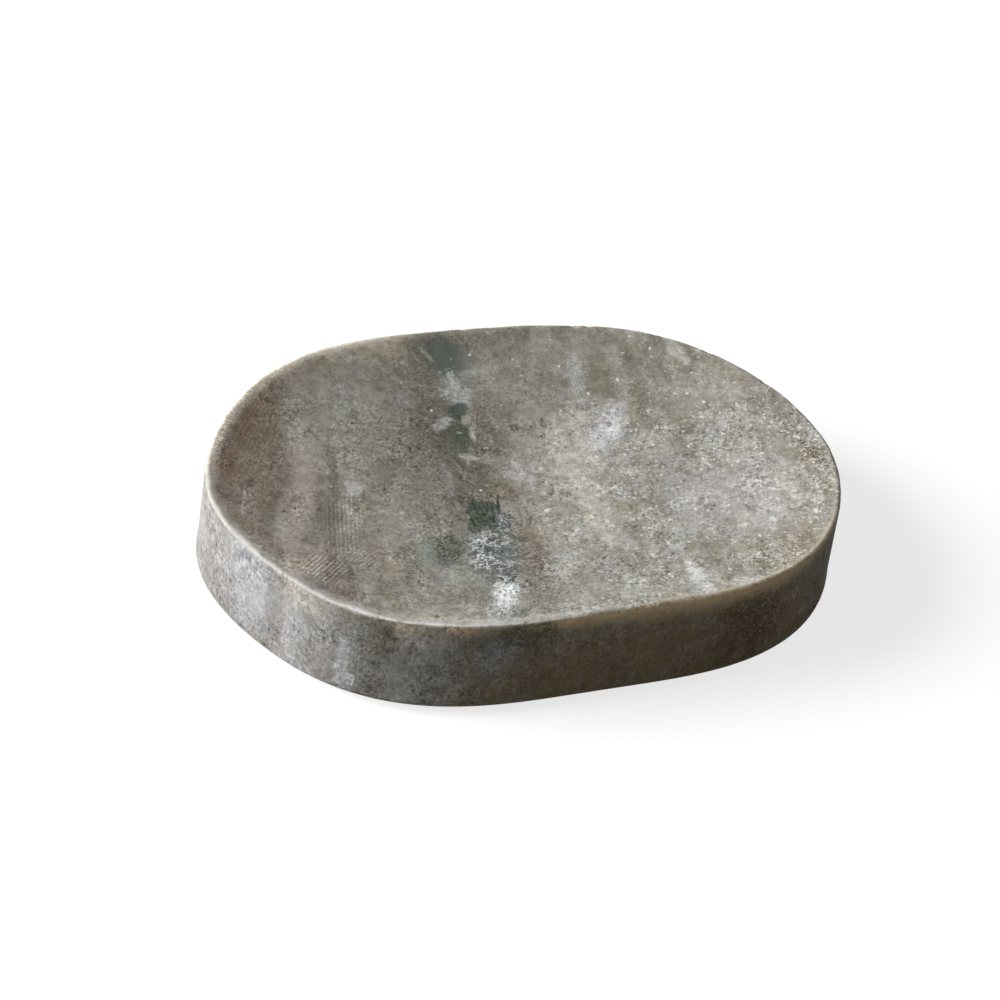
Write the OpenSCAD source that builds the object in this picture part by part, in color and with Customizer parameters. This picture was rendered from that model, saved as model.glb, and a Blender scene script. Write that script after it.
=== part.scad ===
/* [Stone] */
// Length of the stone from left to right, just above its base edge
stone_length = 135; // [90:1:180]
// Width of the stone from front to back, just above its base edge
stone_width = 95.5; // [65:0.5:130]
// Height of the stone without its pads
stone_height = 21.7; // [15:0.1:40]
// Lean of the wall in degrees, which makes the rim a little smaller than the base
wall_lean = 2.8; // [0:0.1:8]
// Radius of the soft edge all round the base
base_edge_radius = 1.4; // [0.6:0.1:3]
// Radius of the worn edge all round the rim
rim_edge_radius = 0.9; // [0.4:0.1:2]

/* [Scoop] */
// Depth of the scoop at its middle, measured down from the top of the rim
scoop_depth = 6; // [2:0.5:10]
// Form of the scoop: 2 is an even bowl, and a larger value gives a flatter middle with steeper sides
scoop_power = 2.2; // [1.6:0.1:4]

/* [Pads] */
// Diameter of a pad where it is stuck to the stone
pad_diameter = 10; // [7:0.5:16]
// Width of the domed shoulder between the pad's edge and the flat that it stands on
pad_shoulder = 2; // [1:0.25:3]
// Height of a pad, which is also the gap under the stone
pad_height = 1.5; // [0.8:0.1:4]
// Bare strip of flat base that is left between a pad and the rounded base edge
pad_margin = 8; // [3:0.5:14]

/* [Hidden] */

stone_colour = [0.55, 0.51, 0.47];
pad_colour = [0.80, 0.81, 0.80];

// The outline is an oval that swells and dips a little as it goes round, as a pebble does.
// Each row holds a number of swells in one turn, the swell as a share of the oval and the angle of its crest.
lobe_shares = [
    [3, 0.009, -22],
    [4, 0.028, -41],
    [5, 0.0055, 35],
    [6, 0.0125, 2.5]
];
// Points round the outline, and steps along each curved stretch of the section
outline_points = 128;
base_edge_steps = 4;
rim_edge_steps = 6;
scoop_steps = 12;
// Turn of the rim's edge in degrees, from the upright wall over the top and down into the scoop
rim_turn = 102;
// Angle of each pad from the long axis, in degrees
pad_bearing = 38;
// Points round the circle that shapes a pad
pad_facets = 96;

function total(values) = values * [for (value = values) 1];
function swell(angle) = 1 + total([for (lobe = lobe_shares) lobe[1] * cos(lobe[0] * (angle - lobe[2]))]);
function pebble_point(angle) = swell(angle) * [cos(angle), sin(angle)];

function column(points, axis) = [for (point = points) point[axis]];
function middle(values) = (max(values) + min(values)) / 2;
function extent(values) = max(values) - min(values);

unit_outline = [for (i = [0:outline_points - 1]) pebble_point(360 * i / outline_points)];
unit_middle = [middle(column(unit_outline, 0)), middle(column(unit_outline, 1))];
outline_scale = [stone_length / extent(column(unit_outline, 0)), stone_width / extent(column(unit_outline, 1))];

// A point of the outline at its full size, for any angle
function outline_point(angle) =
    let (offset = pebble_point(angle) - unit_middle)
    [offset.x * outline_scale.x, offset.y * outline_scale.y];

// The direction straight out of the outline, from two points that lie a degree to either side
side_step = 1;
function outline_normal(angle) =
    let (run = outline_point(angle + side_step) - outline_point(angle - side_step))
    [run.y, -run.x] / norm(run);

function inset_point(angle, inset) = outline_point(angle) - inset * outline_normal(angle);

// The wall leans in from the top of the base edge, where the stone is widest
function lean_inset(height) = (height - base_edge_radius) * tan(wall_lean);

// The section of the wall, as pairs of inset and height above the stone's base, from the base up to the rim
base_edge = [
    for (step = [0:base_edge_steps])
        let (turn = 90 * step / base_edge_steps)
        base_edge_radius * [1 - sin(turn), 1 - cos(turn)]
];
rim_edge = [
    for (step = [0:rim_edge_steps])
        let (turn = rim_turn * step / rim_edge_steps, height = stone_height - rim_edge_radius * (1 - sin(turn)))
        [rim_edge_radius * (1 - cos(turn)) + lean_inset(height), height]
];
wall_section = concat(base_edge, rim_edge);

// The scoop starts where the rim's edge ends, and each of its rings is that ring drawn in towards the middle
scoop_start = rim_edge[rim_edge_steps];
scoop_drop = scoop_depth - (stone_height - scoop_start[1]);
function scoop_height(share) = scoop_start[1] - scoop_drop * (1 - pow(share, scoop_power));

function ring(height, inset, share) = [
    for (i = [0:outline_points - 1])
        let (point = share * inset_point(360 * i / outline_points, inset))
        [point.x, point.y, height]
];

module stone_dish() {
    rings = concat(
        [for (pair = wall_section) ring(pad_height + pair[1], pair[0], 1)],
        [for (step = [1:scoop_steps - 1])
            let (share = 1 - step / scoop_steps)
            ring(pad_height + scoop_height(share), scoop_start[0], share)]
    );
    last = len(rings) - 1;
    base_middle = len(rings) * outline_points;
    scoop_middle = base_middle + 1;
    points = concat(
        [for (one_ring = rings) each one_ring],
        [[0, 0, pad_height], [0, 0, pad_height + stone_height - scoop_depth]]
    );
    function place(row, i) = row * outline_points + i % outline_points;
    faces = concat(
        [for (i = [0:outline_points - 1]) [base_middle, place(0, i), place(0, i + 1)]],
        [for (row = [0:last - 1], i = [0:outline_points - 1])
            [place(row, i), place(row + 1, i), place(row + 1, i + 1)]],
        [for (row = [0:last - 1], i = [0:outline_points - 1])
            [place(row, i), place(row + 1, i + 1), place(row, i + 1)]],
        [for (i = [0:outline_points - 1]) [scoop_middle, place(last, i + 1), place(last, i)]]
    );
    color(stone_colour) polyhedron(points, faces, convexity = 4);
}

// A pad is a slice of a ball: it stands on the slice's small face, and the stone rests on the large one
pad_radius = pad_diameter / 2;
pad_foot_radius = pad_radius - pad_shoulder;
ball_height = (pow(pad_radius, 2) - pow(pad_foot_radius, 2) + pow(pad_height, 2)) / (2 * pad_height);
ball_radius = norm([pad_foot_radius, ball_height]);
pad_inset = base_edge_radius + pad_margin + pad_radius;

module bumper_pad(bearing) {
    spot = inset_point(bearing, pad_inset);
    color(pad_colour)
        translate([spot.x, spot.y, 0])
        rotate_extrude($fn = pad_facets)
        intersection() {
            square([pad_radius, pad_height]);
            translate([0, ball_height]) circle(r = ball_radius, $fn = pad_facets);
        }
}

stone_dish();
bumper_pad(180 + pad_bearing);  // bumper_pad_front_left
bumper_pad(-pad_bearing);  // bumper_pad_front_right
bumper_pad(180 - pad_bearing);  // bumper_pad_back_left
bumper_pad(pad_bearing);  // bumper_pad_back_right
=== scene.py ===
import math
from types import SimpleNamespace

import bpy
from mathutils import Matrix, Vector


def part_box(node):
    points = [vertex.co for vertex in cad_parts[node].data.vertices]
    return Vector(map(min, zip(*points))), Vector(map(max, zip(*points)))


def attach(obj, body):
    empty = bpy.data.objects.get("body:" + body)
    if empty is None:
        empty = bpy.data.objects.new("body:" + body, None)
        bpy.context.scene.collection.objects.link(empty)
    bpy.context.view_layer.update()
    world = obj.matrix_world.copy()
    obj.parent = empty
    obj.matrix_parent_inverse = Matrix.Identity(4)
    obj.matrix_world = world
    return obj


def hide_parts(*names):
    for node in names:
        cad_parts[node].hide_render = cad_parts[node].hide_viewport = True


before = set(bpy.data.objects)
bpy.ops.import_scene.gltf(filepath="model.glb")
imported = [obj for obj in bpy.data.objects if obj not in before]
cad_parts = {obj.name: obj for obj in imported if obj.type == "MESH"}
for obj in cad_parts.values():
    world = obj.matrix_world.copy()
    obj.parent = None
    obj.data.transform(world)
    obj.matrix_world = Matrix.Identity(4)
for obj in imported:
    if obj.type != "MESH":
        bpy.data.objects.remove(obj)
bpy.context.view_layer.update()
print("frame loaded:", ", ".join(sorted(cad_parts)))

mm = 0.001
weld = 0.0005 * mm  # points nearer than this are merged
tau = 2 * math.pi


def paint(red, green, blue):
    # a colour as a screen shows it, 0 to 255, in the linear values that the nodes take
    levels = [value / 255 for value in (red, green, blue)]
    return (*[v / 12.92 if v <= 0.04045 else ((v + 0.055) / 1.055) ** 2.4 for v in levels], 1)


class Wire:
    # one output of a node, so that sums on it read as plain arithmetic

    def __init__(self, board, socket):
        self.board = board
        self.socket = socket

    def out(self, name):
        return Wire(self.board, self.socket.node.outputs[name])

    def __add__(self, other):
        return self.board.maths("ADD", self, other)

    def __radd__(self, other):
        return self.board.maths("ADD", other, self)

    def __sub__(self, other):
        return self.board.maths("SUBTRACT", self, other)

    def __rsub__(self, other):
        return self.board.maths("SUBTRACT", other, self)

    def __mul__(self, other):
        return self.board.maths("MULTIPLY", self, other)

    def __rmul__(self, other):
        return self.board.maths("MULTIPLY", other, self)

    def __truediv__(self, other):
        return self.board.maths("DIVIDE", self, other)

    def __pow__(self, other):
        return self.board.maths("POWER", self, other)


class Board:
    # a node tree that is filled by calls, for materials and for Geometry Nodes alike

    def __init__(self, tree):
        self.tree = tree

    def add(self, kind, settings=None, sockets=None, output=0):
        node = self.tree.nodes.new(kind)
        for name, value in (settings or {}).items():
            setattr(node, name, value)
        for name, value in (sockets or {}).items():
            socket = self.find(node.inputs, name)
            if isinstance(value, Wire):
                self.tree.links.new(value.socket, socket)
            else:
                socket.default_value = value
        return Wire(self, self.find(node.outputs, output)) if len(node.outputs) else None

    def find(self, sockets, name):
        if isinstance(name, int):
            return sockets[name]
        return next(s for s in sockets if name in (s.identifier, s.name) and s.enabled)

    def maths(self, operation, *values):
        return self.add("ShaderNodeMath", {"operation": operation}, dict(enumerate(values)))

    def vector(self, operation, *values, output=0):
        return self.add("ShaderNodeVectorMath", {"operation": operation}, dict(enumerate(values)), output)

    def stretch(self, vector, amounts):
        return self.vector("MULTIPLY", vector, amounts)

    def scale(self, vector, amount):
        return self.add("ShaderNodeVectorMath", {"operation": "SCALE"}, {"Vector": vector, "Scale": amount})

    def length(self, vector):
        return self.vector("LENGTH", vector, output="Value")

    def combine(self, x, y, z):
        return self.add("ShaderNodeCombineXYZ", {}, {"X": x, "Y": y, "Z": z})

    def separate(self, vector):
        first = self.add("ShaderNodeSeparateXYZ", {}, {"Vector": vector})
        return first, first.out("Y"), first.out("Z")

    def span(self, value, low, high, kind="SMOOTHSTEP", start=0.0, end=1.0):
        # start where value is at low, end where it is at high, with a soft or a straight rise between
        sockets = {"Value": value, "From Min": low, "From Max": high, "To Min": start, "To Max": end}
        return self.add("ShaderNodeMapRange", {"interpolation_type": kind, "clamp": True}, sockets)

    def noise(self, vector, scale, detail=2.0, roughness=0.5, seed=0, output="Fac"):
        if seed:
            vector = self.vector("ADD", vector, (17.3 * seed, -9.1 * seed, 5.7 * seed))
        sockets = {"Vector": vector, "Scale": scale, "Detail": detail, "Roughness": roughness}
        return self.add("ShaderNodeTexNoise", {}, sockets, output)

    def sway(self, vector, scale, detail=2.0, roughness=0.5, seed=0):
        # a noise about zero, mostly from -1 to 1
        return (self.noise(vector, scale, detail, roughness, seed) - 0.5) * 3.5

    def cells(self, vector, scale, feature="F1", output="Distance"):
        sockets = {"Vector": vector, "Scale": scale}
        return self.add("ShaderNodeTexVoronoi", {"feature": feature}, sockets, output)

    def channels(self, colour):
        first = self.add("ShaderNodeSeparateColor", {}, {"Color": colour})
        return first, first.out("Green"), first.out("Blue")

    def warp(self, vector, scale, amount, detail=3.0):
        # a push in any direction that changes from place to place
        push = self.combine(*self.channels(self.noise(vector, scale, detail, output="Color")))
        return self.scale(self.vector("SUBTRACT", push, (0.5, 0.5, 0.5)), amount)

    def slope(self, x, y, alongX, alongY, start):
        # a number that changes evenly with x and y, as one node for each
        return self.maths("MULTIPLY_ADD", x, alongX, self.maths("MULTIPLY_ADD", y, alongY, start))

    def squares(self, values):
        # the sum of the squares of some numbers
        total = values[0] * values[0]
        for value in values[1:]:
            total = self.maths("MULTIPLY_ADD", value, value, total)
        return total

    def shade(self, colour, amount):
        # a colour made lighter or darker, where 1 leaves it alone
        level = self.add("ShaderNodeCombineColor", {}, {"Red": amount, "Green": amount, "Blue": amount})
        return self.blend(1.0, colour, level, "MULTIPLY")

    def blend(self, factor, first, second, kind="MIX"):
        sockets = {"Factor_Float": factor, "A_Color": first, "B_Color": second}
        return self.add("ShaderNodeMix", {"data_type": "RGBA", "blend_type": kind}, sockets, "Result_Color")


def startMaterial(name):
    material = bpy.data.materials.new(name)
    material.use_nodes = True
    material.node_tree.nodes.clear()
    return material, Board(material.node_tree)


# The camera's place, fitted to the outline of the dish: angles in degrees, the aim on the stone's underside
view = {
    "turn": 19.81,
    "rise": 40.0,
    "roll": -8.43,
    "distance": 516.9 * mm,
    "lens": 86.4,
    "sensor": 36.0,
    "aimX": 0.05 * mm,
    "aimY": 12.96 * mm,
}


def placeCamera():
    turn, rise, roll = (math.radians(view[name]) for name in ("turn", "rise", "roll"))
    back = Vector((-math.sin(turn) * math.cos(rise), -math.cos(turn) * math.cos(rise), math.sin(rise)))
    right = Vector((math.cos(turn), -math.sin(turn), 0))
    up = back.cross(right)
    rolledRight = math.cos(roll) * right - math.sin(roll) * up
    rolledUp = math.sin(roll) * right + math.cos(roll) * up
    aim = Vector((view["aimX"], view["aimY"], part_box("stone_dish")[0].z))
    data = bpy.data.cameras.new("camera")
    data.lens = view["lens"]
    data.sensor_width = view["sensor"]
    camera = bpy.data.objects.new("camera", data)
    camera.matrix_world = Matrix.Translation(aim + view["distance"] * back) @ Matrix(
        (rolledRight, rolledUp, back)
    ).transposed().to_4x4()
    bpy.context.scene.collection.objects.link(camera)
    bpy.context.scene.camera = camera


placeCamera()
print("camera placed")


def growPiece(name, tree, values, start):
    # runs a Geometry Nodes tree once and keeps its result as a plain mesh
    scaffold = bpy.data.objects.new(name + "Start", start)
    bpy.context.scene.collection.objects.link(scaffold)
    modifier = scaffold.modifiers.new("shape", "NODES")
    modifier.node_group = tree
    for item in tree.interface.items_tree:
        if item.in_out == "INPUT" and item.name in values:
            modifier[item.identifier] = values[item.name]
    evaluated = scaffold.evaluated_get(bpy.context.evaluated_depsgraph_get())
    mesh = bpy.data.meshes.new_from_object(evaluated)
    mesh.name = name
    bpy.data.objects.remove(scaffold)
    piece = bpy.data.objects.new(name, mesh)
    bpy.context.scene.collection.objects.link(piece)
    print(name, "grown with", len(mesh.polygons), "faces")
    return piece


def startShape(name, sizes):
    tree = bpy.data.node_groups.new(name, "GeometryNodeTree")
    tree.interface.new_socket("Geometry", in_out="OUTPUT", socket_type="NodeSocketGeometry")
    tree.interface.new_socket("Points", in_out="INPUT", socket_type="NodeSocketGeometry")
    for size in sizes:
        tree.interface.new_socket(size, in_out="INPUT", socket_type="NodeSocketFloat")
    board = Board(tree)
    return tree, board, board.add("NodeGroupInput")


def endShape(board, geometry, material):
    whole = board.add("GeometryNodeRealizeInstances", {}, {"Geometry": geometry})
    smooth = board.add("GeometryNodeSetShadeSmooth", {}, {"Geometry": whole})
    dressed = board.add("GeometryNodeSetMaterial", {}, {"Geometry": smooth, "Material": material})
    board.add("NodeGroupOutput", {}, {0: dressed})


# The stone: its overall sizes come from the frame, and the rest of its form is here
stone = {
    "lobes": [(3, 0.009, -22), (4, 0.028, -41), (5, 0.0055, 35), (6, 0.0125, 2.5)],
    "outlineSteps": 128,
    "skin": 0.02 * mm,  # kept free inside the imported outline
    "wallLean": math.radians(2.8),
    "baseEdge": 1.4 * mm,
    "rimEdge": 0.9 * mm,
    "rimTurn": math.radians(102),
    "scoopDepth": 6 * mm,
    "scoopPower": 2.2,
    "rimDip": 0.35 * mm,  # how far the rim wanders down
    "handGround": 0.22 * mm,  # depth of the wide hollows
    "ripple": 0.05 * mm,
    "chip": 0.35 * mm,  # depth of the worn spots on the rim
    "around": 600,
    "rows": {"under": 8, "baseEdge": 10, "wall": 32, "rim": 14, "scoop": 96},
}


def swell(angle):
    lobes = stone["lobes"]
    return 1 + sum(share * math.cos(count * (angle - math.radians(crest))) for count, share, crest in lobes)


def outlineFit(length, width):
    # the middle of the bare outline, and what scales it to its length and width
    angles = [tau * i / stone["outlineSteps"] for i in range(stone["outlineSteps"])]
    across = [swell(a) * math.cos(a) for a in angles]
    along = [swell(a) * math.sin(a) for a in angles]
    middle = (max(across) + min(across)) / 2, (max(along) + min(along)) / 2
    return middle, (length / (max(across) - min(across)), width / (max(along) - min(along)))


def outlinePoint(board, angle, middle, scale):
    size = 1.0
    for count, share, crest in stone["lobes"]:
        size = size + share * board.maths("COSINE", angle * count - math.radians(crest) * count)
    x = (size * board.maths("COSINE", angle) - middle[0]) * scale[0]
    y = (size * board.maths("SINE", angle) - middle[1]) * scale[1]
    return x, y


def rowSection(board, rowShare, name):
    names = list(stone["rows"])
    counts = list(stone["rows"].values())
    total = sum(counts)
    before = sum(counts[: names.index(name)])
    return board.span(rowShare, before / total, (before + stone["rows"][name]) / total, "LINEAR")


def pebbleTree(material):
    low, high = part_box("stone_dish")
    middle, scale = outlineFit(high.x - low.x - 2 * stone["skin"], high.y - low.y - 2 * stone["skin"])
    sizes = {
        "Height": high.z - low.z,
        "Lift": low.z,
        "Base Edge": stone["baseEdge"],
        "Rim Edge": stone["rimEdge"],
        "Scoop Depth": stone["scoopDepth"],
        "Scoop Power": stone["scoopPower"],
        "Rim Dip": stone["rimDip"],
        "Hand Ground": stone["handGround"],
        "Ripple": stone["ripple"],
        "Chip": stone["chip"],
    }
    tree, board, given = startShape("pebble stone", sizes)
    sheet = board.add("GeometryNodeMeshGrid", {}, {
        "Size X": 1.0, "Size Y": 1.0,
        "Vertices X": stone["around"] + 1, "Vertices Y": sum(stone["rows"].values()) + 1,
    })
    across, along, _ = board.separate(board.add("GeometryNodeInputPosition"))
    angle = (across + 0.5) * tau
    rows = {name: rowSection(board, along + 0.5, name) for name in stone["rows"]}

    # the outline, and the direction straight out of it
    x, y = outlinePoint(board, angle, middle, scale)
    step = math.radians(1)
    aheadX, aheadY = outlinePoint(board, angle + step, middle, scale)
    behindX, behindY = outlinePoint(board, angle - step, middle, scale)
    out = board.vector("NORMALIZE", board.combine(aheadY - behindY, behindX - aheadX, 0.0))
    outX, outY, _ = board.separate(out)

    # the rim wanders a little in height and in roundness as it goes round
    circle = board.combine(board.maths("COSINE", angle), board.maths("SINE", angle), 0.37)
    dip = board.noise(circle, 2.3, 2.0) * given.out("Rim Dip")
    height = given.out("Height") - dip
    roundness = board.span(board.noise(circle, 5.0, 3.0), 0.3, 0.7, "LINEAR", 0.65, 1.45)
    rimEdge = given.out("Rim Edge") * roundness
    baseEdge = given.out("Base Edge")

    edgeTurn = rows["baseEdge"] * (math.pi / 2)
    rimTurn = rows["rim"] * stone["rimTurn"]
    risen = (
        baseEdge * (1 - board.maths("COSINE", edgeTurn))
        + rows["wall"] * (height - rimEdge - baseEdge)
        + rimEdge * board.maths("SINE", rimTurn)
    )
    inset = (
        baseEdge * (1 - board.maths("SINE", edgeTurn))
        + rimEdge * (1 - board.maths("COSINE", rimTurn))
        + math.tan(stone["wallLean"]) * board.maths("MAXIMUM", risen - baseEdge, 0.0)
    )
    share = 1 - rows["scoop"] ** 1.1
    bowl = given.out("Scoop Depth") - rimEdge * (1 - math.sin(stone["rimTurn"])) - dip
    sunk = bowl * (1 - share ** given.out("Scoop Power"))
    reach = share * rows["under"]
    z = given.out("Lift") + risen - sunk
    place = board.combine((x - outX * inset) * reach, (y - outY * inset) * reach, z)

    # how far each point is from the rim, in millimetres: above zero in the scoop and below it on the wall
    radius = board.length(board.combine(x, y, 0.0))
    marks = {
        "fromRim": ((1 - share) * radius - (height - risen)) / mm,
        "rimNear": board.span(rows["wall"], 0.93, 1.0) * board.span(rows["scoop"], 0.03, 0.0),
    }
    for name, value in marks.items():
        settings = {"data_type": "FLOAT", "domain": "POINT"}
        sheet = board.add("GeometryNodeStoreNamedAttribute", settings, {
            "Geometry": sheet, "Name": name, "Value": value,
        })
    shaped = board.add("GeometryNodeSetPosition", {}, {"Geometry": sheet, "Position": place})
    closed = board.add("GeometryNodeMergeByDistance", {}, {"Geometry": shaped, "Distance": weld})

    # hand grinding leaves shallow hollows, and the rim has a few worn spots; the underside stays flat
    position = board.add("GeometryNodeInputPosition")
    heightHere = board.separate(position)[2] - given.out("Lift")
    upper = board.span(heightHere, 1.5 * mm, 4 * mm)
    hollows = board.noise(position, 45.0, 2.0) * given.out("Hand Ground") * upper
    ripples = board.noise(position, 170.0, 2.0) * given.out("Ripple") * upper
    rimNear = board.add("GeometryNodeInputNamedAttribute", {"data_type": "FLOAT"}, {"Name": "rimNear"})
    worn = board.span(board.noise(position, 320.0, 3.0), 0.58, 0.75) * rimNear * given.out("Chip")
    normal = board.add("GeometryNodeInputNormal")
    shift = board.scale(normal, 0 - hollows - ripples - worn)
    ground = board.add("GeometryNodeSetPosition", {}, {"Geometry": closed, "Offset": shift})
    endShape(board, ground, material)
    return tree, sizes


def showBoard(board, shader):
    board.add("ShaderNodeOutputMaterial", {}, {"Surface": shader})


# The marble. Colours are as a screen shows them, and places are in millimetres from the dish's middle
marble = {
    "tones": {
        "dark": paint(106, 102, 91),
        "middle": paint(141, 137, 126),
        "light": paint(168, 168, 165),
        "warm": paint(150, 139, 121),
        "cool": paint(140, 140, 143),
    },
    "tilt": 0.11,  # how far the beds lean as they run to the far side
    # noises that push the pattern about: scale, reach and detail
    "wideWander": (0.055, 9.0, 3.0),
    "smallWander": (0.45, 2.2, 3.0),
    "patchWander": (0.3, 2.6, 3.0),
    "crystalWander": (1.6, 0.7, 2.0),
    "edge": {"ragged": 1.8, "salt": 1.2},  # what frays the patches' edges
    "grain": 1.0,
    "grainMix": {"body": 0.42, "salt": 0.36, "facet": 0.4, "strands": 0.18},
    "flankGrain": -0.45,  # less grain on the wall at the right
    "paleCrystals": 0.55,
    "darkCrystals": 0.55,
    "flecks": 0.7,
    "darkPaint": paint(72, 64, 53),
    "palePaint": paint(226, 224, 220),
    "fleckPaint": paint(232, 231, 228),
    "pitPaint": paint(40, 36, 32),
    "pitHeight": 18.0,
    "pitReach": 4.0,
    "stain": paint(120, 99, 82),
    "smooth": ((-7.2, 38.4), (4, 5.4), 12),  # the place with little grain, on the vein's green head
    # depth of each part of the relief, in millimetres
    "relief": {"salt": 0.01, "facet": 0.01, "body": 0.015, "rubbed": 0.02, "hole": 0.5},
    "roughness": (0.5, 0.7),
    "shine": 0.04,
    "glassiness": 0.8,  # share of the light that goes through the surface
    "glowReach": (1.0, 0.88, 0.7),
    "glowDepth": 4 * mm,
}
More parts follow.
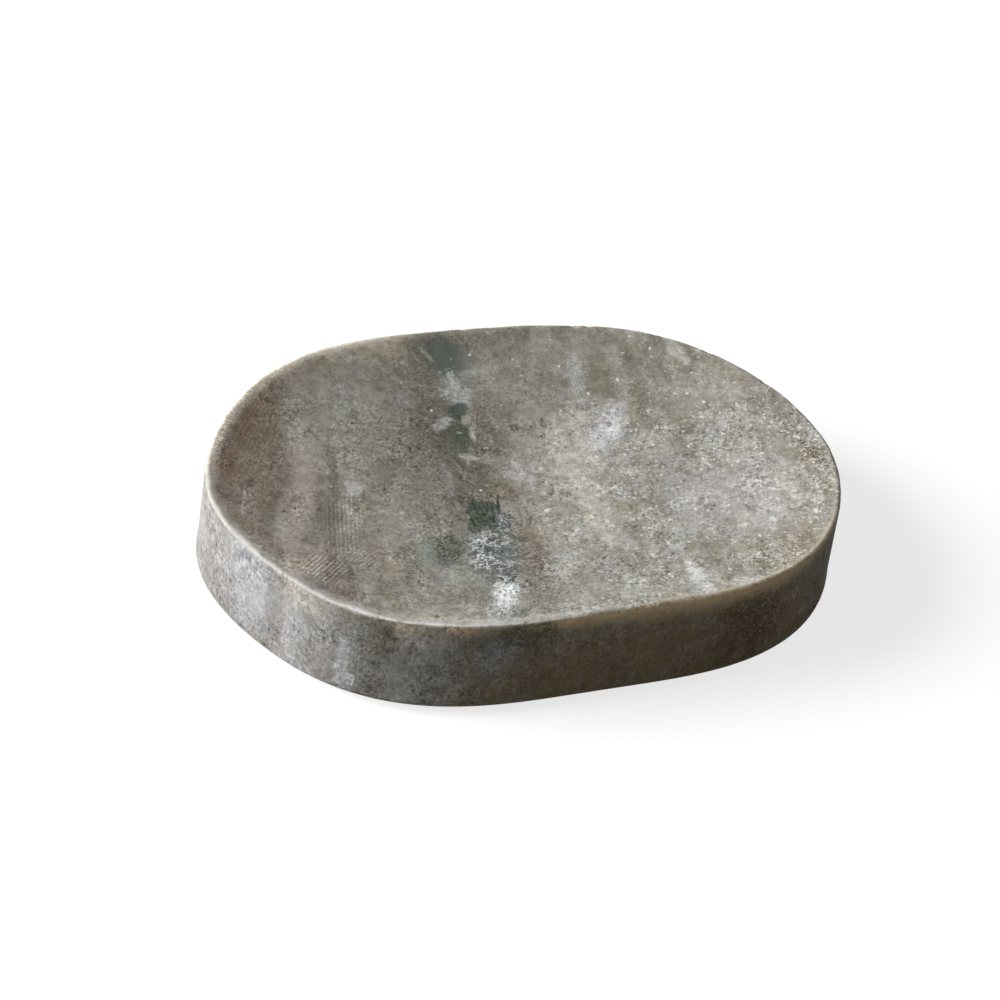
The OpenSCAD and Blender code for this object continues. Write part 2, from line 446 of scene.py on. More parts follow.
# Each patch: what it is, colour, centre, half sizes, turn, softness and raggedness of its edge, strength.
# A patch whose centre has no height runs through the whole stone.
patches = [
    # brown margin at the left, and the light and dark bands beside it
    ("light field", paint(158, 155, 143), (-34, 21), (10, 15), -10, 1.4, 0.6, 0.72),
    ("brown margin", paint(130, 110, 92), (-56, 10), (6, 20), -14, 1.2, 0.6, 0.35),
    ("brown seam", paint(112, 94, 78), (-50, 25), (3.4, 10), -18, 1.1, 0.5, 0.55),
    ("brown spot", paint(116, 88, 68), (-60.6, 8.5), (2.2, 5.0), -6, 1.2, 0.9, 0.45),
    ("light band", paint(174, 167, 158), (-44.4, 14), (2.5, 13), -6, 1.3, 0.4, 0.6),
    ("light band foot", paint(176, 168, 158), (-50.2, -9), (2.7, 15), -17, 1.3, 0.4, 0.64),
    ("pale heel", paint(172, 162, 150), (-49.5, -21.5), (3.2, 4.4), -20, 1.2, 0.7, 0.6),
    ("cream heel", paint(192, 179, 164), (-53.4, -27), (2.4, 5.0), -30, 1.3, 0.8, 0.65),
    ("left rim", paint(170, 168, 162), (-61.5, -11), (3.4, 11), 8, 1.2, 1.0, 0.5),
    ("left shade", paint(114, 108, 96), (-54, 3), (3.6, 9), -12, 1.3, 0.6, 0.4),
    ("dark band", paint(92, 84, 74), (-39.2, 7), (0.8, 10), -7, 1.2, 0.4, 0.5),
    ("dark band foot", paint(92, 84, 74), (-43.2, -13), (0.8, 9), -12, 1.2, 0.4, 0.55),
    ("pale field", paint(156, 149, 138), (-36, -16), (6, 13), -8, 1.3, 0.6, 0.5),
    ("pale foot", paint(152, 146, 134), (-27, -30), (6, 7), 20, 1.3, 0.7, 0.45),
    ("far left veil", paint(156, 149, 137), (-45, 29), (6, 8), -20, 1.3, 0.7, 0.4),
    ("grey field", paint(160, 155, 152), (-20.5, -7), (6.5, 8), 0, 1.3, 0.7, 0.7),
    ("olive near edge", paint(176, 174, 160), (-29.5, -41.5), (4, 2.4), -10, 1.3, 0.8, 0.5),
    ("brown foot", paint(106, 86, 70), (-46.2, -31), (3.2, 4.6), 0, 1.0, 0.7, 0.6),
    # partly tan stone and partly painted glow of light through the far edge
    ("tan far edge and painted glow", paint(176, 162, 146), (-44, 40, 23), (20, 4.5, 5), 24, 1.2, 0.6, 0.3),
    ("cream far edge", paint(178, 168, 152), (-21, 43.5, 23), (9, 4.5, 5), 4, 1.3, 0.7, 0.6),
    ("pale spot", paint(188, 188, 186), (-36, 0.7), (1.3, 2.8), -14, 0.9, 0.9, 0.75),
    ("blue streak", paint(160, 163, 162), (-32.4, 28.2), (1.1, 3.4), -10, 1.0, 0.7, 0.65),
    ("blue spot", paint(146, 149, 151), (-20, 28), (2.2, 2.6), 0, 1.0, 0.9, 0.4),
    ("dark middle", paint(92, 86, 74), (-17, 9), (10, 14), -8, 1.5, 0.5, 0.55),
    ("long scratch", paint(194, 188, 176), (-59.6, -4.2), (0.28, 3.6), -10, 0.8, 0.2, 0.9),
    ("far dot", paint(196, 194, 188), (-43.8, 19.2), (0.6, 0.7), 0, 0.8, 0.5, 0.7),
    ("pale dash", paint(206, 202, 192), (-16.3, -2.6), (1.0, 0.3), -25, 0.8, 0.4, 0.8),
    ("pale fleck", paint(200, 196, 184), (-27.6, -7.2), (0.6, 0.4), 0, 0.8, 0.5, 0.8),
    # green and white vein
    ("vein shade", paint(92, 93, 86), (-11, 24), (6, 24), -4, 1.2, 0.5, 0.36),
    ("vein shade foot", paint(98, 99, 92), (-15, -20), (10, 16), -8, 1.3, 0.6, 0.5),
    ("green cap", paint(84, 85, 76), (-12.0, 43), (4.2, 3.6), 30, 0.7, 0.5, 0.75),
    ("green head", paint(87, 96, 90), (-7.2, 38.2), (3.9, 5.2), 12, 0.7, 0.25, 0.92),
    ("white crack", paint(160, 160, 150), (-11.8, 39.8), (0.45, 2.2), 35, 1.0, 0.4, 0.65),
    ("blue web", paint(176, 182, 179), (-8.0, 29.4), (2.5, 4.2), 12, 1.0, 1.0, 0.85),
    ("web branch", paint(160, 165, 160), (-4.8, 33.4), (1.2, 3.6), -50, 1.0, 1.0, 0.6),
    ("green spot", paint(74, 81, 76), (-8.9, 23.4), (1.8, 3.0), -35, 0.5, 0.2, 0.92),
    ("pale bit", paint(170, 174, 168), (-12.6, 19.7), (2.1, 1.5), 20, 1.0, 0.9, 0.7),
    ("green waist", paint(74, 80, 68), (-9.7, 16.0), (2.2, 4.7), -6, 0.7, 0.35, 0.9),
    ("pale wedge", paint(172, 170, 160), (-7.5, 20.9), (0.9, 1.3), -30, 0.8, 0.6, 0.7),
    ("waist dot", paint(170, 174, 168), (-9.6, 16.7), (0.6, 0.4), 10, 0.8, 0.5, 0.75),
    ("waist lip", paint(152, 154, 144), (-6.6, 17.4), (0.45, 3.8), -12, 0.9, 0.4, 0.65),
    ("green shade", paint(88, 90, 78), (-11.9, 13.0), (2.3, 3.8), -8, 1.0, 0.6, 0.5),
    ("white curl", paint(186, 184, 178), (-9.4, 9.3), (1.6, 0.7), -20, 0.9, 0.8, 0.75),
    ("pale chips", paint(172, 169, 161), (-3.8, 8.6), (2.6, 1.5), 15, 1.0, 1.0, 0.5),
    ("grey wisp", paint(152, 150, 150), (-15.6, 2.6), (0.9, 4.0), -6, 1.1, 0.8, 0.5),
    ("brown of the vein", paint(112, 104, 92), (0, 18), (4, 13), -6, 1.4, 0.6, 0.3),
    ("pale lee", paint(166, 160, 150), (8, -11.5), (8.5, 6.5), -6, 1.4, 0.7, 0.6),
    ("rust fleck", paint(100, 78, 62), (-5.0, -2.0), (2.4, 2.2), 0, 1.0, 0.9, 0.5),
    ("green side", paint(70, 73, 64), (-21.6, -20.4), (2.6, 4.8), -16, 1.0, 0.8, 0.9),
    ("green side pale", paint(146, 155, 145), (-25.8, -21), (1.9, 3.6), -15, 1.1, 0.8, 0.65),
    ("green side foot", paint(160, 163, 156), (-21, -28.5), (4.6, 3.4), -20, 1.2, 0.9, 0.6),
    ("brown lee", paint(108, 95, 82), (-4.2, -22), (2.2, 9), -6, 1.1, 0.7, 0.5),
    ("blue foot", paint(94, 101, 96), (-14.2, -43.8), (2.8, 2.4), 0, 0.9, 0.9, 0.75),
    # pale clouds at the right
    ("blue cloud", paint(206, 208, 213), (22.6, 15), (3.0, 6.4), -32, 1.1, 1.0, 0.75),
    ("blue trail", paint(178, 180, 182), (19.4, 31), (1.6, 7.0), -8, 1.1, 0.7, 0.55),
    ("slope field", paint(174, 169, 161), (10, 16), (6, 9), -12, 1.4, 0.6, 0.4),
    ("cream slope", paint(194, 190, 181), (12.6, 9), (4.4, 9.6), -20, 1.3, 0.9, 0.65),
    ("cream streak", paint(198, 193, 184), (13.0, -7), (2.6, 11), 2, 1.3, 0.9, 0.65),
    ("cream arm", paint(176, 170, 160), (6, 5), (6.5, 1.8), 18, 1.2, 0.9, 0.45),
    ("small cloud", paint(182, 182, 184), (0.6, 3.0), (2.8, 2.8), 15, 1.2, 1.0, 0.6),
    ("olive shade", paint(108, 103, 90), (25.4, 31), (1.7, 8), 2, 1.0, 0.7, 0.35),
    ("dark far right", paint(116, 111, 100), (34, 14), (6, 14), -8, 1.4, 0.7, 0.5),
    ("dark right", paint(120, 116, 107), (32, -8), (8, 10), 0, 1.5, 0.8, 0.4),
    ("dark near", paint(118, 111, 100), (22, -29), (18, 5), 8, 1.4, 0.7, 0.28),
    ("dark right edge", paint(120, 114, 106), (58, 10), (5, 14), -14, 1.3, 0.8, 0.4),
    ("brown near right", paint(122, 110, 94), (47, -31), (9, 3), 30, 1.2, 0.9, 0.45),
    ("foot shade", paint(110, 106, 97), (-7.4, -36.5), (3.4, 8.0), 0, 1.2, 0.7, 0.6),
    ("far haze", paint(168, 164, 156), (19, 38.5), (7, 3.4), 0, 1.3, 0.8, 0.5),
    ("far veil", paint(160, 154, 144), (1, 36), (5, 8), -6, 1.3, 0.8, 0.28),
    ("right haze", paint(184, 180, 173), (46, 19), (7, 7), -20, 1.3, 0.8, 0.35),
    ("right field", paint(180, 177, 174), (52, 2), (5, 8), -10, 1.4, 0.7, 0.25),
    ("right spot", paint(196, 192, 186), (30.5, 8), (3, 4), 0, 1.2, 1.0, 0.4),
    ("far streak", paint(184, 186, 180), (43.6, 34.5), (1.3, 3.6), 20, 1.0, 0.6, 0.6),
    ("white drop", paint(206, 206, 204), (26.0, -36.4), (1.5, 4.6), 4, 1.0, 0.9, 0.85),
    ("white drop foot", paint(200, 200, 200), (33.6, -40.4), (1.8, 1.5), 0, 0.9, 0.9, 0.75),
    ("violet haze", paint(184, 181, 183), (43, -12), (11, 10), -30, 1.5, 0.7, 0.5),
    ("pale speckle", paint(196, 192, 184), (53.8, -12), (1.6, 2.8), 5, 1.1, 1.0, 0.65),
    ("bright fleck", paint(220, 218, 208), (2.5, -9.2), (0.8, 0.4), 20, 0.8, 0.5, 0.8),
    ("near flecks", paint(206, 204, 200), (41.0, -21.5), (1.4, 0.8), 40, 0.9, 1.0, 0.7),
    ("right fleck", paint(216, 214, 210), (47.2, -21.3), (0.7, 0.9), 20, 0.8, 0.6, 0.8),
    ("rim fleck", paint(210, 207, 200), (56.5, -21.4), (0.7, 0.8), 0, 0.8, 0.6, 0.8),
    ("dark knot", paint(76, 66, 52), (62.8, -3.8), (1.5, 2.4), -15, 0.9, 0.9, 0.75),
    ("green streak", paint(112, 111, 96), (13.7, -27), (0.7, 3.2), 5, 1.0, 0.6, 0.6),
    ("dark dot left", paint(84, 82, 72), (2.5, 17.3), (1.0, 0.8), 0, 0.9, 0.7, 0.75),
    ("dark dot right", paint(90, 84, 72), (8.7, 18.0), (0.6, 1.3), 0, 0.9, 0.7, 0.75),
]
# The same for the flank alone, from the left round the front
flankPatches = [
    ("left grey", paint(137, 136, 136), (-62, -22, 12), (22, 28, 20), 0, 0.7, 0.3, 0.8),
    ("blue", paint(172, 175, 181), (-61.5, -21, 14), (3.5, 6, 9), 0, 1.3, 0.8, 0.65),
    # painted shade: the left wall darker towards the floor
    ("painted shade low on the wall", paint(112, 108, 103), (-66, -8, 1), (8, 18, 7), 0, 1.5, 0.5, 0.45),
    ("brown column", paint(110, 96, 84), (-58.6, -26.6, 12), (0.8, 1.6, 16), 30, 0.9, 1.0, 0.6),
    ("pale band", paint(178, 177, 178), (-54.8, -32.0, 12), (2.2, 3.0, 18), 30, 1.0, 0.6, 0.6),
    ("pale band top", paint(192, 184, 168), (-53.5, -33.2, 21), (5.0, 4.0, 3.6), 0, 1.2, 0.8, 0.6),
    ("grey band", paint(160, 157, 154), (-50.5, -36.4, 16), (2.6, 3.0, 11), 30, 1.0, 0.6, 0.45),
    ("grey near corner", paint(108, 106, 103), (-43, -42, 8), (9, 4, 14), 24, 1.2, 0.6, 0.6),
    ("low specks", paint(196, 198, 204), (-45.6, -39.6, 8), (1.8, 2.4, 5.0), 0, 0.7, 1.6, 0.7),
    # partly brown stone and partly painted glow of light through the top of the wall
    ("brown top and painted glow", paint(200, 189, 172), (-31, -46, 21.5), (6, 5, 4), 0, 1.2, 0.8, 0.75),
    ("blue grey", paint(164, 164, 166), (-32, -46, 10), (7, 4, 9), 0, 1.1, 0.7, 0.65),
    ("dark knot", paint(86, 78, 68), (-38.5, -43.4, 17), (1.4, 2, 2.6), 0, 1.1, 0.9, 0.6),
    ("front", paint(160, 150, 132), (-2, -47.5, 7), (16, 4, 10), 0, 1.4, 0.6, 0.5),
    ("blue drop", paint(176, 179, 184), (-17.2, -47.5, 14.5), (3.2, 3, 5.0), 0, 1.0, 0.7, 0.85),
    # partly brown stone and partly painted shade of the front and right wall, which face away from the key
    # light
    ("brown", paint(138, 121, 92), (34, -45, 6), (46, 14, 15), 0, 1.0, 0.5, 0.85),
    # painted glow: light coming through the top of the front and right wall, painted as a warm band
    ("painted glow below the rim", paint(212, 188, 146), (26, -45, 23.4), (36, 12, 3.4), 0, 1.6, 0.6, 0.6),
    ("green", paint(104, 103, 78), (-13, -47.5, 20.5), (6, 4, 3.8), 0, 0.9, 0.9, 0.85),
    ("dark knots", paint(84, 72, 52), (38, -43, 12), (7, 3.5, 7), 0, 1.3, 1.0, 0.7),
    # partly dark stone and partly painted shade at the right end, which faces away from the key light
    ("dark end and painted shade", paint(86, 71, 40), (61, -25, 9), (7, 12, 14), 0, 1.3, 0.5, 0.85),
    ("light scratch", paint(196, 182, 154), (51.4, -35.6, 8), (1.8, 1.8, 0.4), 0, 0.9, 0.6, 0.6),
]
# Rubbed places: what it is, centre, half width and half length, turn, spacing of the scratches, strength
rubbings = [
    ("upright scratches", (-40.5, -11), (4, 10), -10, 0.85, 1.0),
    ("crossing scratches", (-47.3, -25.0), (5.0, 4.6), -42, 0.85, 1.5),
    ("short scratches", (-38.5, -21.5), (3.6, 4.0), -48, 0.8, 0.8),
    ("far scratches", (-52, 19), (5, 10), -30, 0.9, 0.45),
    ("cloud scratches", (19, 29), (2.2, 6), 0, 0.7, 0.7),
    ("near scratches", (43, -35), (9, 6), -35, 0.7, 0.45),
]
# The vein's own forms, each with its centre, half sizes and turn
vein = {
    "block": ((-11.0, -9.4), (3.1, 5.0), -12),
    "blockDark": paint(50, 56, 48),
    "blockPale": paint(102, 108, 96),
    "seam": ((-7.6, -8.6), (0.35, 5.4), -13),
    "seamPaint": paint(38, 42, 36),
    "web": ((-12.2, -22.0), (5.2, 7.4), -10),
    "webTop": ((-8.0, -13.5), (1.8, 4.6), -14),
    "webGround": paint(88, 94, 90),
    "webPaint": paint(212, 217, 217),
    "brightTop": ((-11.6, -16.6), (3.6, 2.2), 5),
    "brightSide": ((-15.4, -23.5), (2.2, 3.0), 0),
    "white": ((-12.9, -34.8), (2.7, 5.2), -20),
    "whitePaint": paint(218, 221, 222),
    "whiteFade": ((-15.2, -39.4), (2.6, 5.0), -25),
    "fadePaint": paint(196, 200, 199),
    "gap": ((-11.3, -30.4), (1.7, 2.0), -30),
    "gapPaint": paint(70, 75, 71),
}
# The worn rim, with a painted glow and a painted highlight: shares of paint at their most, and colours
rim = {
    "frostAll": 0.12,
    "frostLeft": 0.16,
    "frostFront": 0.26,
    "frostPaint": paint(202, 199, 192),
    "band": 0.8,
    "bandPaint": paint(161, 160, 157),
    # painted glow through the far edge, mixed with worn frost
    "fringeAndGlowPaint": paint(222, 219, 212),
    "lineFarLeft": 0.22,
    "lineFront": 0.8,
    # worn edge line with a painted highlight
    "lineAndHighlightPaint": paint(225, 227, 227),
    # painted glow below the front edge
    "paintedGlowPaint": paint(218, 202, 172),
    "olive": ((-13.5, -47.5, 20.5), (5.5, 4.0, 4.0), 0),
    "corner": 0.4,
    "cornerPaint": paint(184, 171, 145),
}
# Small holes: centre and radius
pits = [((9.7, -26.3), 0.35), ((-32.2, 20.8), 0.3), ((-56.2, -24.0), 0.45), ((-45.4, -19.2), 0.4)]


def localPlace(board, place, centre, size, turn):
    # where a point lies in one patch: the patch's middle is at zero, and its edge lies one away
    cosine, sine = math.cos(math.radians(turn)), math.sin(math.radians(turn))
    axes = []
    for (alongX, alongY), half in zip(((cosine, sine), (-sine, cosine)), size):
        start = -(centre[0] * alongX + centre[1] * alongY) / half
        axes.append(board.slope(place[0], place[1], alongX / half, alongY / half, start))
    if len(centre) == 3:
        axes.append((place[2] - centre[2]) / size[2])
    return axes


def patchArea(board, place, centre, size, turn, soft, strength=1.0, push=0.0):
    # full strength inside a patch, nothing outside it, and a soft edge that push makes ragged
    away = board.squares(localPlace(board, place, centre, size, turn)) + push
    return board.span(away, (1 + soft / 2) ** 2, (1 - soft / 2) ** 2, end=strength)


def bedColour(board, w, wx, wy, wz):
    # upright beds that wander, lighter and darker, warmer and cooler
    tones = marble["tones"]
    bed = board.combine(wx - wy * marble["tilt"], wy * 0.25, wz * 0.3)
    tone = board.sway(bed, 0.10, 4.0, 0.6) * 0.42 + board.sway(bed, 0.34, 4.0, 0.62, seed=1) * 0.5
    tone = tone + board.sway(w, 0.22, 4.0, 0.66, seed=2) * 0.62
    # darker to the left of the vein, lighter to its right, and darker along the far side
    tone = tone + board.span(wx - wy * 0.3, -14.0, 12.0, start=-0.15, end=0.12)
    tone = tone - board.span(wy, 0.0, 40.0, end=0.3)
    colour = board.blend(board.span(tone, -0.75, 0.0, "LINEAR"), tones["dark"], tones["middle"])
    colour = board.blend(board.span(tone, 0.0, 0.75, "LINEAR"), colour, tones["light"])
    warmth = board.sway(bed, 0.16, 4.0, 0.6, seed=3) + board.sway(w, 0.5, 3.0, 0.6, seed=4) * 0.6
    colour = board.blend(board.span(warmth, 0.05, 1.2, end=0.45), colour, tones["warm"])
    return board.blend(board.span(warmth, -0.05, -1.1, end=0.5), colour, tones["cool"])


def paintVein(board, fields, colour):
    place, here, edge = fields.place, fields.here, fields.edge
    salt, ragged = fields.salt, fields.ragged
    # the dark block, cut off sharply at its right
    block = localPlace(board, place, *vein["block"])
    blockEdge = board.maths("MAXIMUM", board.maths("ABSOLUTE", block[0]), board.maths("ABSOLUTE", block[1]))
    fibres = board.sway(board.stretch(fields.p, (2.4, 0.4, 0.5)), 1.0, 3.0, 0.6, seed=7)
    blockShade = board.blend(board.span(fibres, -0.7, 0.9), vein["blockDark"], vein["blockPale"])
    colour = board.blend(board.span(blockEdge + edge * 0.07, 1.1, 0.94, end=0.95), colour, blockShade)
    seam = patchArea(board, here, *vein["seam"], 0.8, 0.85, salt * 0.3)
    colour = board.blend(seam, colour, vein["seamPaint"])

    # the white crystals below it: a web of short bright strokes on grey-green, and a solid white patch
    webArea = board.maths("MAXIMUM",
                          patchArea(board, place, *vein["web"], 0.7, push=edge * 0.6),
                          patchArea(board, place, *vein["webTop"], 0.8, push=edge * 0.7))
    colour = board.blend(webArea * 0.85, colour, vein["webGround"])
    lying = board.sway(board.stretch(fields.crystal, (0.45, 1.1, 1.0)), 0.5, 2.0, 0.5, seed=8)
    leaning = board.sway(board.stretch(fields.crystal, (1.1, 0.5, 1.0)), 0.5, 2.0, 0.5, seed=13)
    web = board.maths("MAXIMUM", board.span(board.maths("ABSOLUTE", lying), 0.14, 0.03),
                      board.span(board.maths("ABSOLUTE", leaning), 0.12, 0.03) * 0.9)
    # strands that lean as the vein does
    strandPlace = board.combine(here[0] * 2.3 - here[1] * 0.85, here[1] * 0.42, here[2] * 0.42)
    strands = board.sway(strandPlace, 1.0, 2.0, 0.6, seed=14)
    webBright = patchArea(board, place, *vein["brightTop"], 1.2, 0.9, edge * 0.6)
    webBright = webBright + patchArea(board, place, *vein["brightSide"], 1.2, 0.7, edge * 0.6)
    webShare = web * board.span(ragged + salt * 0.4, -0.5, 0.6, start=0.1, end=0.85)
    webShare = webShare + webBright * (0.05 + web * 0.6)
    colour = board.blend(webArea * webShare, colour, vein["webPaint"])
    white = patchArea(board, place, *vein["white"], 0.7, 0.95, edge * 0.7)
    whiteFade = patchArea(board, place, *vein["whiteFade"], 1.2, 0.6, edge * 0.7)
    whiteShare = board.span(salt * 0.5 + ragged * 0.7 + strands * 0.8 + web, -0.8, 0.9, start=0.1, end=1.0)
    colour = board.blend(whiteFade * whiteShare, colour, vein["fadePaint"])
    colour = board.blend(white * whiteShare, colour, vein["whitePaint"])
    gap = patchArea(board, place, *vein["gap"], 0.8, 0.9, edge * 0.6)
    fields.strands = strands
    return board.blend(gap * (1 - web * 0.7), colour, vein["gapPaint"])


def paintStain(board, fields, colour):
    # the brown stain that follows the rim at the left
    here, fromRim, ragged = fields.here, fields.fromRim, fields.ragged
    stain = board.span(fromRim + ragged * 2.2, 8.5, 3.5) * board.span(fromRim + ragged * 0.8, 0.5, 1.9)
    stain = stain * board.span(here[0], -38.0, -52.0) * board.span(here[1] + ragged, -23.0, -19.0)
    return board.blend(stain * (0.55 - fields.mottle * 0.45), colour, marble["stain"])


def paintCrystals(board, fields, colour):
    # grey grain at several sizes, then pale and dark crystals in drifts, then white flecks
    here, place, crystal = fields.here, fields.place, fields.crystal
    salt, flank, mix = fields.salt, fields.flank, marble["grainMix"]
    fields.facet = board.channels(board.cells(crystal, 1.5, output="Color"))[0]
    fields.body = board.sway(fields.p, 0.3, 3.0, 1.0, seed=9)
    smooth = patchArea(board, place, *marble["smooth"], 0.6) * 0.7
    zone = board.span(board.sway(fields.w, 0.12, 3.0, 0.6, seed=10), -0.5, 0.5, start=0.6, end=1.35)
    fields.left = board.span(here[0], 5.0, -40.0)
    fields.right = board.span(here[0], -5.0, 30.0)
    zone = zone * board.span(here[1] - fields.left * 14, 8.0, 30.0, start=1.0, end=0.66)
    grain = fields.body * mix["body"] + salt * mix["salt"]
    grain = grain + (fields.facet - 0.5) * mix["facet"] + fields.strands * mix["strands"]
    grain = grain * zone * (1 - smooth)
    grain = grain * (1 + flank * board.span(fields.left, 0.0, 1.0, start=marble["flankGrain"], end=0.0))
    colour = board.shade(colour, board.maths("MAXIMUM", 1 + grain * marble["grain"], 0.2))
    drift = board.span(place[0], -30.0, 50.0, "LINEAR", -0.12, 0.1) + (zone - 0.9) * 0.35
    pale = board.sway(crystal, 1.3, 1.0, 0.6, seed=11) + drift
    paleLarge = board.sway(crystal, 0.62, 1.0, 0.6, seed=16) + drift
    dark = board.sway(crystal, 1.2, 1.0, 0.6, seed=12) - drift * 0.5
    paleShare = board.maths("MAXIMUM", board.span(pale, 0.6, 0.95), board.span(paleLarge, 0.74, 0.9))
    paleShare = paleShare * board.span(place[0], -25.0, 20.0, start=0.3, end=1.0) * (1 - flank * 0.65)
    darkShare = board.span(dark, 0.6, 0.9) * board.span(here[0], -40.0, 0.0, start=0.7)
    colour = board.blend(darkShare * marble["darkCrystals"], colour, marble["darkPaint"])
    colour = board.blend(paleShare * marble["paleCrystals"], colour, marble["palePaint"])
    cell = board.cells(board.stretch(crystal, (1.0, 0.7, 1.0)), 0.42)
    chosen = board.channels(cell.out("Color"))[0] + board.span(here[0], -20.0, 40.0, start=-0.36, end=0.0)
    fleck = board.span(cell + salt * 0.05, 0.16, 0.08) * board.span(chosen, 0.56, 0.66)
    return board.blend(fleck * (1 - flank * 0.7) * marble["flecks"], colour, marble["fleckPaint"])


def paintWear(board, fields, colour):
    # rubbed places and small holes, which also give the relief
    rubbed = 0.0
    for name, centre, size, turn, spacing, strength in rubbings:
        local = localPlace(board, fields.here, centre, size, turn)
        lines = board.maths("SINE", local[0] * (tau * size[0] / spacing) + fields.ragged * 2.0)
        lines = board.span(lines, -0.2, 1.0, start=-0.45, end=1.1)
        rubbed = lines * board.span(board.squares(local) + fields.ragged, 1.6, 0.4, end=strength) + rubbed
    fields.rubbed = rubbed * board.span(fields.salt, -0.6, 0.4, start=0.35)
    colour = board.shade(colour, 1 + fields.rubbed * 0.3)
    hole = 0.0
    for centre, radius in pits:
        centre, size = (*centre, marble["pitHeight"]), (radius, radius, marble["pitReach"])
        pit = patchArea(board, fields.here, centre, size, 0, 0.6, push=fields.salt * 0.4)
        hole = board.maths("MAXIMUM", pit, hole)
    fields.hole = hole
    return board.blend(hole * 0.85, colour, marble["pitPaint"])


def paintRim(board, fields, colour):
    here, fromRim, ragged, salt = fields.here, fields.fromRim, fields.ragged, fields.salt
    # frost just inside the edge, at its strongest in front
    near = board.span(here[1], 25.0, -5.0)
    wear = board.span(ragged + salt * 0.5, -0.8, 0.5, start=0.3)
    frost = board.span(fromRim + ragged * 0.9, 2.2, 0.0) * board.span(fromRim, -1.0, -0.3)
    front = board.span(here[1], -34.0, -42.0) * board.span(here[0], 10.0, -10.0)
    frost = frost * wear
    frostShare = rim["frostAll"] + fields.left * rim["frostLeft"] + front * rim["frostFront"]
    colour = board.blend(frost * frostShare, colour, rim["frostPaint"])
    # a neutral edge at the near left, so that the light on it doesn't turn it to cream
    fromEdge = board.maths("ABSOLUTE", fromRim + 0.05)
    band = board.span(fromEdge, 0.75, 0.4) * board.span(here[0], -30.0, -48.0) * near
    colour = board.blend(band * wear * rim["band"], colour, rim["bandPaint"])
    # a salted fringe along the far left: partly worn frost and partly painted glow of light coming through
    # the far edge
    fringe = board.span(fromRim + ragged * 0.9, 2.6, -0.2) * board.span(fromRim + ragged * 0.3, -1.4, -0.5)
    fringe = fringe * board.span(salt + ragged * 0.3, -0.4, 0.7, start=0.45)
    fringe = fringe * board.span(here[0], -10.0, -34.0) * board.span(here[1], 2.0, 14.0)
    colour = board.blend(fringe * (0.3 + wear * 0.55), colour, rim["fringeAndGlowPaint"])

    # a light line along the near edge, with a broken one inside it: partly worn edge and partly painted
    # highlight; where the key light strikes the edge squarely, a little paint is enough
    line = board.span(fromRim + salt * 0.1, 0.0, -0.18) * board.span(fromRim, -0.55, -0.32)
    fromInner = board.maths("ABSOLUTE", fromRim + ragged * 0.12 - 0.8)
    inner = board.span(fromInner, 0.2, 0.06) * board.span(ragged, -0.4, 0.4)
    lineAndHighlightShare = board.span(here[0], -62.0, -28.0, start=rim["lineFarLeft"], end=rim["lineFront"])
    lineAndHighlightShare = lineAndHighlightShare * board.span(here[0], 6.0, -14.0) * wear * near
    colour = board.blend(board.maths("MAXIMUM", line, inner * 0.5) * lineAndHighlightShare, colour, rim["lineAndHighlightPaint"])

    # painted glow: light that shows through the stone below the front edge, painted into the colour, apart
    # from one olive place
    glow = board.span(fromRim + ragged * 0.6, -4.2, -0.8)
    glow = glow * board.span(here[1] + here[0] * 0.15, -22.0, -38.0) * board.span(here[0], -30.0, -14.0)
    olive = patchArea(board, fields.place, *rim["olive"], 0.9, push=fields.edge * 0.7)
    glow = glow * fields.flank * (1 - olive)
    colour = board.blend(glow * (0.72 - fields.mottle * 0.35), colour, rim["paintedGlowPaint"])
    corner = board.span(fromRim + salt * 0.3, -1.8, -0.9) * board.span(fromRim + ragged * 0.5, 0.7, 0.0)
    corner = corner * fields.right * board.span(here[1], -10.0, -30.0) * rim["corner"]
    return board.blend(corner, colour, rim["cornerPaint"])


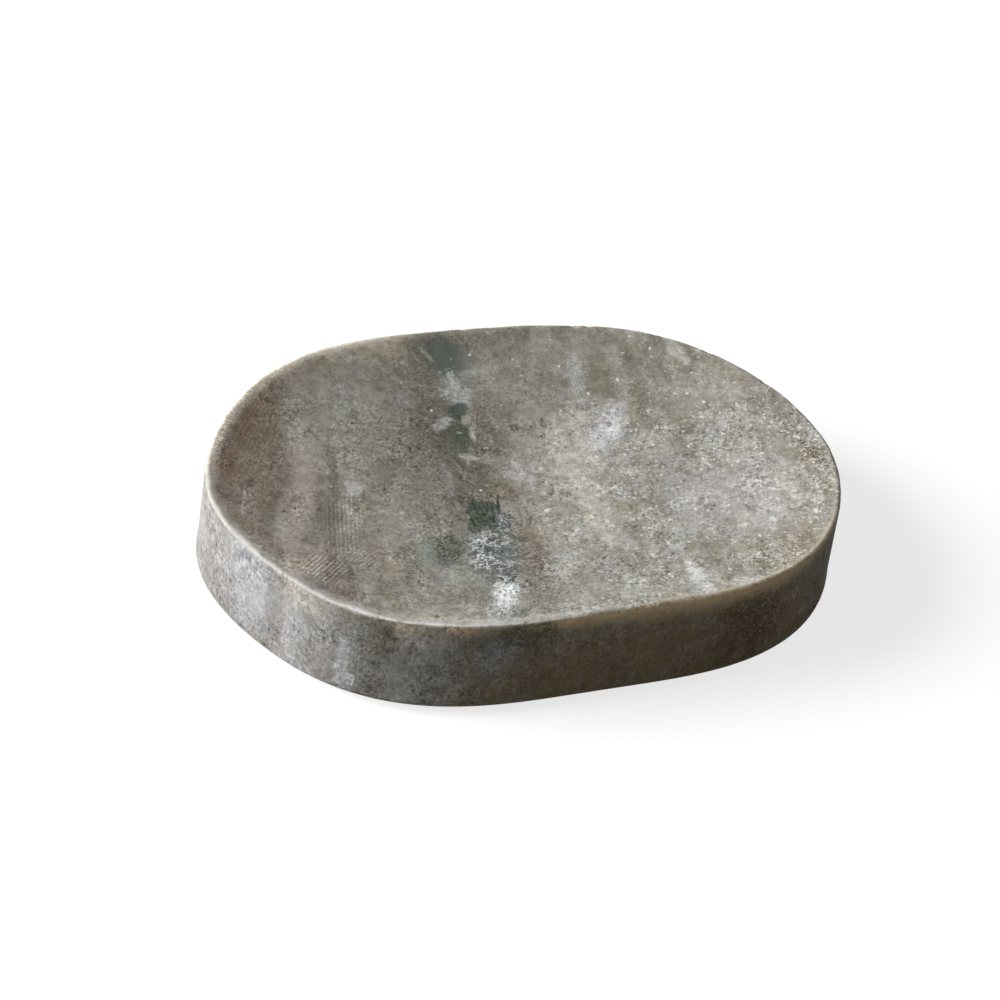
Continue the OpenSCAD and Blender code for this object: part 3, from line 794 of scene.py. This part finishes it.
def marbleMaterial():
    material, board = startMaterial("marble")
    # what the parts of the marble share: coordinates in millimetres, plain and warped, and a few noises
    fields = SimpleNamespace()
    fields.p = board.scale(board.add("ShaderNodeTexCoord", {}, {}, "Object"), 1 / mm)
    wide, small = (board.warp(fields.p, *marble[name]) for name in ("wideWander", "smallWander"))
    fields.w = board.vector("ADD", fields.p, board.vector("ADD", wide, small))
    fields.crystal = board.vector("ADD", fields.p, board.warp(fields.p, *marble["crystalWander"]))
    fields.place = board.separate(board.vector("ADD", fields.p, board.warp(fields.w, *marble["patchWander"])))
    fields.here = board.separate(fields.p)
    fields.ragged = board.sway(fields.w, 0.42, 4.0, 0.7, seed=5)
    fields.salt = board.sway(fields.crystal, 1.7, 1.0, 0.6, seed=6)
    fields.edge = fields.ragged * marble["edge"]["ragged"] + fields.salt * marble["edge"]["salt"]
    fields.mottle = board.span(fields.ragged + fields.salt * 0.8, -0.5, 0.5, end=0.6)
    colour = bedColour(board, fields.w, *board.separate(fields.w))
    fields.fromRim = board.add("ShaderNodeAttribute", {"attribute_name": "fromRim"}, {}, "Fac")
    fields.flank = board.span(fields.fromRim, -0.2, -1.2)
    for places, reach in ((patches, None), (flankPatches, fields.flank)):
        for name, hue, centre, size, turn, soft, rough, strength in places:
            area = patchArea(board, fields.place, centre, size, turn, soft, strength, fields.edge * rough)
            area = area if reach is None else area * reach
            colour = board.blend(area * (1 - fields.mottle * rough), colour, hue)
    for layer in (paintVein, paintStain, paintCrystals, paintWear, paintRim):
        colour = layer(board, fields, colour)

    rise = marble["relief"]
    relief = fields.salt * rise["salt"] + fields.facet * rise["facet"] + fields.body * rise["body"]
    relief = relief + fields.rubbed * rise["rubbed"] - fields.hole * rise["hole"]
    bump = board.add("ShaderNodeBump", {}, {"Strength": 1.0, "Distance": mm, "Height": relief})
    roughness = board.span(fields.salt + fields.facet, -0.4, 1.4, "LINEAR", *marble["roughness"])
    shader = board.add("ShaderNodeBsdfPrincipled", {}, {
        "Base Color": colour, "Roughness": roughness, "Normal": bump, "IOR": 1.49,
        "Specular IOR Level": marble["shine"], "Subsurface Weight": marble["glassiness"],
        "Subsurface Radius": marble["glowReach"], "Subsurface Scale": marble["glowDepth"],
    })
    showBoard(board, shader)
    return material


stoneTree, stoneSizes = pebbleTree(marbleMaterial())
stoneDish = growPiece("stoneDish", stoneTree, stoneSizes, bpy.data.meshes.new("stoneStart"))
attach(stoneDish, "root")
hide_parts("stone_dish")

# The pads under the stone
pad = {
    "diameter": 10 * mm,
    "shoulder": 2 * mm,
    "around": 72,
    "rows": 28,
}
padNodes = [name for name in sorted(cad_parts) if name.startswith("bumper_pad")]


def rubberMaterial():
    material, board = startMaterial("pad rubber")
    p = board.scale(board.add("ShaderNodeTexCoord", {}, {}, "Object"), 1 / mm)
    dust = board.noise(p, 0.9, 4.0, 0.65)
    lint = board.span(board.cells(board.stretch(p, (1.0, 0.35, 1.0)), 1.1), 0.12, 0.03)
    colour = board.blend(board.span(dust, 0.4, 0.75), paint(201, 205, 203), paint(176, 178, 172))
    colour = board.blend(lint * 0.5, colour, paint(150, 148, 140))
    bump = board.add("ShaderNodeBump", {}, {"Strength": 1.0, "Distance": mm, "Height": dust * 0.02})
    shader = board.add("ShaderNodeBsdfPrincipled", {}, {
        "Base Color": colour, "Roughness": board.span(dust, 0.3, 0.8, start=0.3, end=0.55), "Normal": bump,
        "IOR": 1.45, "Transmission Weight": 0.25, "Subsurface Weight": 0.3,
        "Subsurface Radius": (1.0, 1.0, 1.0), "Subsurface Scale": 1 * mm,
    })
    showBoard(board, shader)
    return material


def padTree(material):
    low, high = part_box(padNodes[0])
    sizes = {"Height": high.z - low.z, "Radius": pad["diameter"] / 2, "Shoulder": pad["shoulder"]}
    tree, board, given = startShape("bumper pad", sizes)
    sheet = board.add("GeometryNodeMeshGrid", {}, {
        "Size X": 1.0, "Size Y": 1.0, "Vertices X": pad["around"] + 1, "Vertices Y": pad["rows"] + 1,
    })
    across, along, _ = board.separate(board.add("GeometryNodeInputPosition"))
    angle = (across + 0.5) * tau
    rise = board.span(along + 0.5, 0.3, 0.8, "LINEAR")
    under = board.span(along + 0.5, 0.0, 0.3, "LINEAR")
    over = board.span(along + 0.5, 0.8, 1.0, "LINEAR")
    # the flat foot, then the dome's shoulder, then the flat that is stuck to the stone
    turn = rise * (math.pi / 2)
    radius = given.out("Radius") - given.out("Shoulder") * (1 - board.maths("SINE", turn))
    z = given.out("Height") * (1 - board.maths("COSINE", turn)) ** 0.9
    reach = radius * under * (1 - over)
    place = board.combine(board.maths("COSINE", angle) * reach, board.maths("SINE", angle) * reach, z)
    shaped = board.add("GeometryNodeSetPosition", {}, {"Geometry": sheet, "Position": place})
    closed = board.add("GeometryNodeMergeByDistance", {}, {"Geometry": shaped, "Distance": weld})
    points = given.out("Points")
    spread = board.add("GeometryNodeInstanceOnPoints", {}, {"Points": points, "Instance": closed})
    endShape(board, spread, material)
    return tree, sizes


def padSpots():
    spots = bpy.data.meshes.new("padSpots")
    corners = [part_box(name) for name in padNodes]
    middles = [((low.x + high.x) / 2, (low.y + high.y) / 2, low.z) for low, high in corners]
    spots.from_pydata(middles, [], [])
    return spots


rubberTree, rubberSizes = padTree(rubberMaterial())
bumperPads = growPiece("bumperPads", rubberTree, rubberSizes, padSpots())
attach(bumperPads, "root")
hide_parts(*padNodes)

# The studio: a pale floor that turns white for the camera and keeps the shadow, a wide soft key and a fill
studio = {
    "floorSide": 8.0,  # metres
    "floorDrop": 0.02 * mm,
    "floorPaint": paint(132, 130, 127),
    "cameraPaint": paint(148, 148, 147),
    "cameraGlow": 0.76,  # added where the floor is seen, so that it turns white
    "fill": 0.15,
    "keyStrength": 6.4,
    "keySpread": 36.0,  # angles in degrees
    "keyRise": 26.0,
    "keyTurn": 166.0,
}


def seenDirectly(board):
    path = board.add("ShaderNodeLightPath", {}, {}, "Is Camera Ray")
    through = board.maths("MAXIMUM", path.out("Is Glossy Ray"), path.out("Is Transmission Ray"))
    return board.maths("MAXIMUM", path, through)


def buildStudio():
    scene = bpy.context.scene
    half = studio["floorSide"] / 2
    mesh = bpy.data.meshes.new("floor")
    corners = [(x * half, y * half, -studio["floorDrop"]) for x, y in ((-1, -1), (1, -1), (1, 1), (-1, 1))]
    mesh.from_pydata(corners, [], [(0, 1, 2, 3)])
    floor = bpy.data.objects.new("floor", mesh)
    scene.collection.objects.link(floor)
    material, board = startMaterial("floor")
    plain = board.add("ShaderNodeBsdfDiffuse", {}, {"Color": studio["floorPaint"]})
    seen = board.add("ShaderNodeBsdfDiffuse", {}, {"Color": studio["cameraPaint"]})
    glow = board.add("ShaderNodeEmission", {}, {"Color": (1, 1, 1, 1), "Strength": studio["cameraGlow"]})
    bright = board.add("ShaderNodeAddShader", {}, {0: seen, 1: glow})
    top = board.add("ShaderNodeMixShader", {}, {0: seenDirectly(board), 1: plain, 2: bright})
    # from below the floor is clear, so that the underside can be looked at
    below = board.add("ShaderNodeNewGeometry", {}, {}, "Backfacing")
    clear = board.add("ShaderNodeBsdfTransparent", {}, {})
    showBoard(board, board.add("ShaderNodeMixShader", {}, {0: below, 1: top, 2: clear}))
    mesh.materials.append(material)

    world = bpy.data.worlds.new("studio")
    scene.world = world
    world.use_nodes = True
    world.node_tree.nodes.clear()
    board = Board(world.node_tree)
    fill = board.add("ShaderNodeBackground", {}, {"Color": (1, 1, 1, 1), "Strength": studio["fill"]})
    white = board.add("ShaderNodeBackground", {}, {"Color": (1, 1, 1, 1), "Strength": 1.0})
    mixed = board.add("ShaderNodeMixShader", {}, {0: seenDirectly(board), 1: fill, 2: white})
    board.add("ShaderNodeOutputWorld", {}, {"Surface": mixed})

    rise, turn = math.radians(studio["keyRise"]), math.radians(studio["keyTurn"])
    towards = Vector((math.cos(turn) * math.cos(rise), math.sin(turn) * math.cos(rise), math.sin(rise)))
    data = bpy.data.lights.new("key", "SUN")
    data.energy = studio["keyStrength"]
    data.angle = math.radians(studio["keySpread"])
    key = bpy.data.objects.new("key", data)
    key.rotation_euler = towards.to_track_quat("Z", "Y").to_euler()
    scene.collection.objects.link(key)
    scene.view_settings.view_transform = "Standard"


buildStudio()
print("studio lit")
